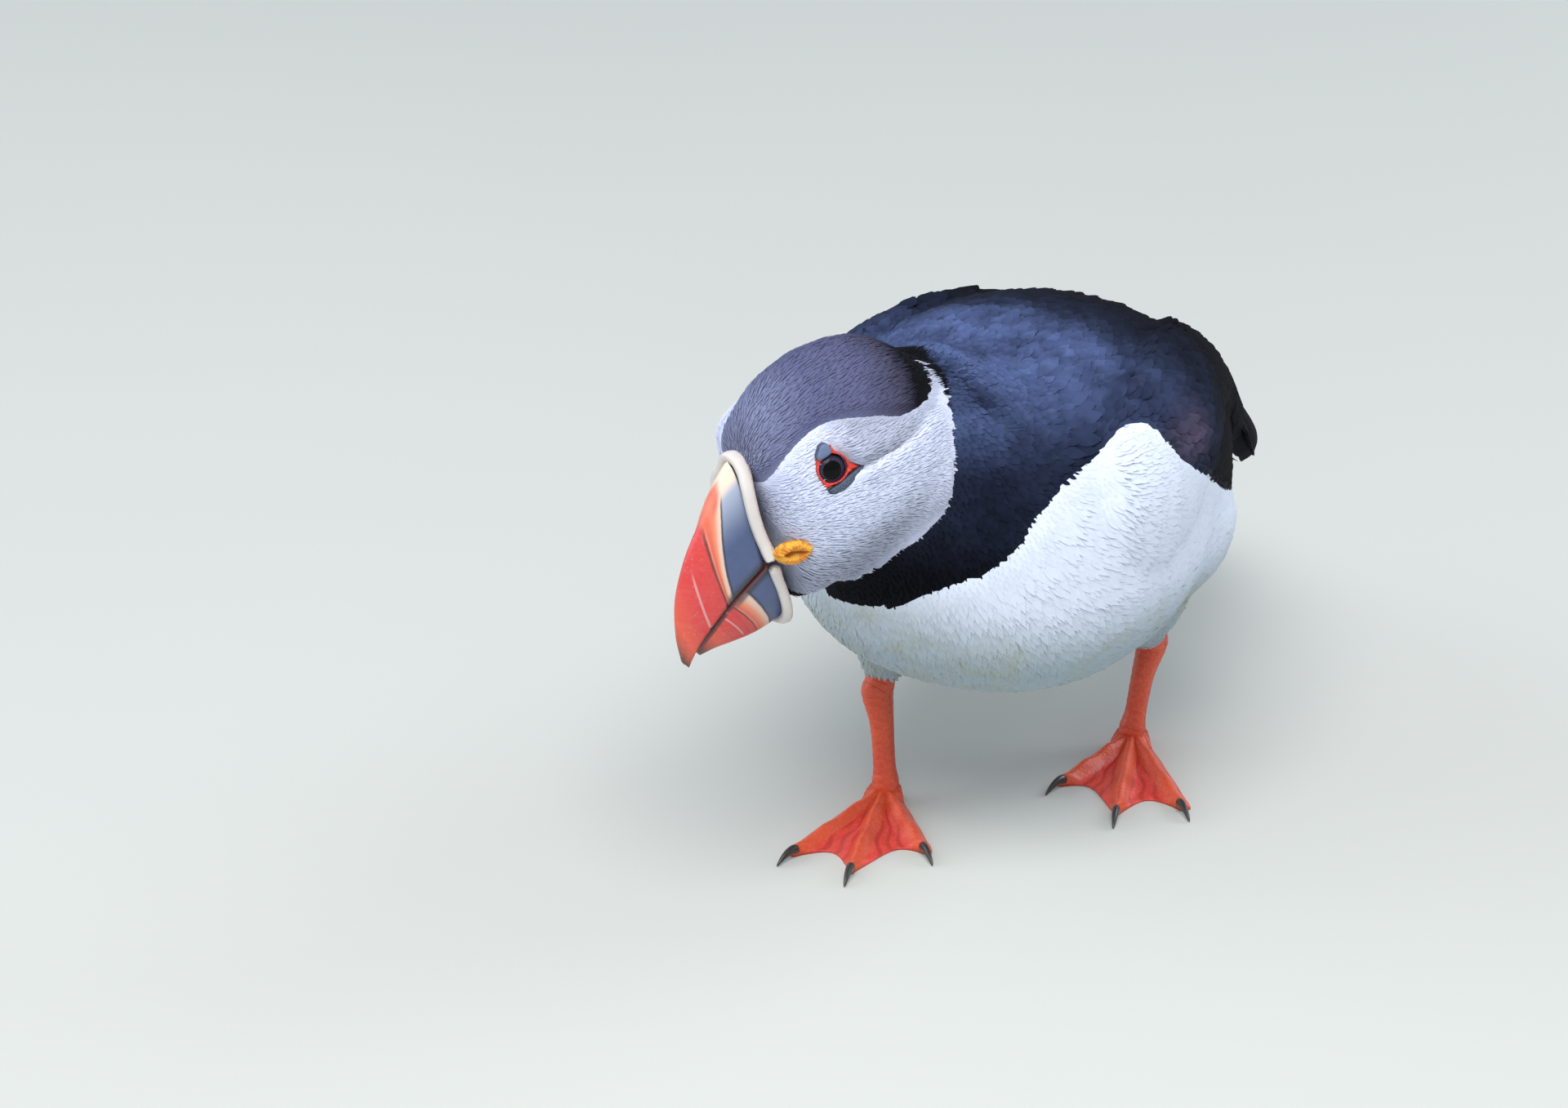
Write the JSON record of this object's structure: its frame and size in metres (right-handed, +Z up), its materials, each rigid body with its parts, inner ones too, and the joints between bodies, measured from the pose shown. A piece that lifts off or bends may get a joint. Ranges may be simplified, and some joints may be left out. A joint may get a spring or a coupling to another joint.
{
  "type": "atlantic puffin model",
  "caption": "Life-size still model of an Atlantic puffin walking with its head lowered and turned, with a tall banded bill and webbed feet on the floor.",
  "frame": {"origin": "middle of the model's box in plan, on the floor plane that both soles touch", "axes": "the bird's body faces -Y, its left side is +X, and +Z is up"},
  "size_m": [0.0982, 0.2218, 0.1296],
  "materials": {
    "face_plumage": "short dense feathers, pale grey-white face under a slate-grey to black crown",
    "black_plumage": "smooth feathers, black with a blue sheen",
    "body_plumage": "dense feathers, white below and on the flanks, black on the back and collar",
    "white_plumage": "short white feathers",
    "bill_horn": "satin horn, slate-blue plate behind a grooved orange-red tip",
    "bill_ridge": "matt cream horn with fine pores",
    "gape_skin": "soft wrinkled yellow-orange skin",
    "eye": "wet glossy eye, black pupil in a dark grey-brown iris",
    "eye_ring": "bare orange-red skin",
    "eye_plate": "grainy blue-grey horn",
    "leg_skin": "finely scaled orange-red skin, thin webs",
    "claw": "black horn, worn at the tip"
  },
  "bodies": {
    "root": {"bill_lower": "bill_horn", "bill_ridge_lower": "bill_ridge", "bill_ridge_upper": "bill_ridge", "bill_upper": "bill_horn", "claw_inner_left": "claw", "claw_inner_right": "claw", "claw_middle_left": "claw", "claw_middle_right": "claw", "claw_outer_left": "claw", "claw_outer_right": "claw", "eye_left": "eye", "eye_plate_lower_left": "eye_plate", "eye_plate_lower_right": "eye_plate", "eye_plate_upper_left": "eye_plate", "eye_plate_upper_right": "eye_plate", "eye_right": "eye", "foot_left": "leg_skin", "foot_right": "leg_skin", "gape_left": "gape_skin", "gape_right": "gape_skin", "head": "face_plumage", "lid_left": "eye_ring", "lid_right": "eye_ring", "neck": "black_plumage", "tail": "black_plumage", "tarsus_left": "leg_skin", "tarsus_right": "leg_skin", "thigh_left": "white_plumage", "thigh_right": "white_plumage", "trunk": "body_plumage", "wing_left": "black_plumage", "wing_right": "black_plumage"}
  },
  "joints": []
}
